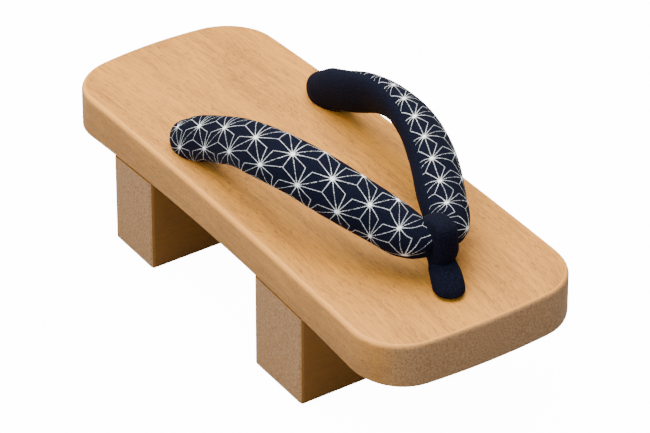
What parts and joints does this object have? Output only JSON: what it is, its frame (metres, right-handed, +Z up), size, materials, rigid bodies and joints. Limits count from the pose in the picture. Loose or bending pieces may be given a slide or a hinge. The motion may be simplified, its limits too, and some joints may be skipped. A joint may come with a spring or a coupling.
{
  "type": "wooden geta sandal",
  "caption": "Wooden geta sandal with an arched board on cross teeth, and a padded V strap held by a toe loop and side holes.",
  "frame": {"origin": "on the floor, under the middle of the board's length and width, where the teeth stand", "axes": "+X along the board towards the toe, +Y across the board, towards the wearer's left, +Z up"},
  "size_m": [0.24, 0.0966, 0.0953],
  "materials": {
    "wood_board": "smooth, unpainted, fine straight grain",
    "wood_tooth": "plain sawn, unpainted",
    "cloth_patterned": "navy cotton with a white traditional hemp-leaf pattern on its outer face",
    "cloth_plain": "plain navy cotton",
    "cord": "plain twisted cord"
  },
  "bodies": {
    "root": {"board": "wood_board", "rear_tooth": "wood_tooth", "front_tooth": "wood_tooth", "strap": "cloth_patterned", "toe_loop": "cloth_plain", "tie_toe": "cord", "tie_left": "cord", "tie_right": "cord"}
  },
  "joints": []
}
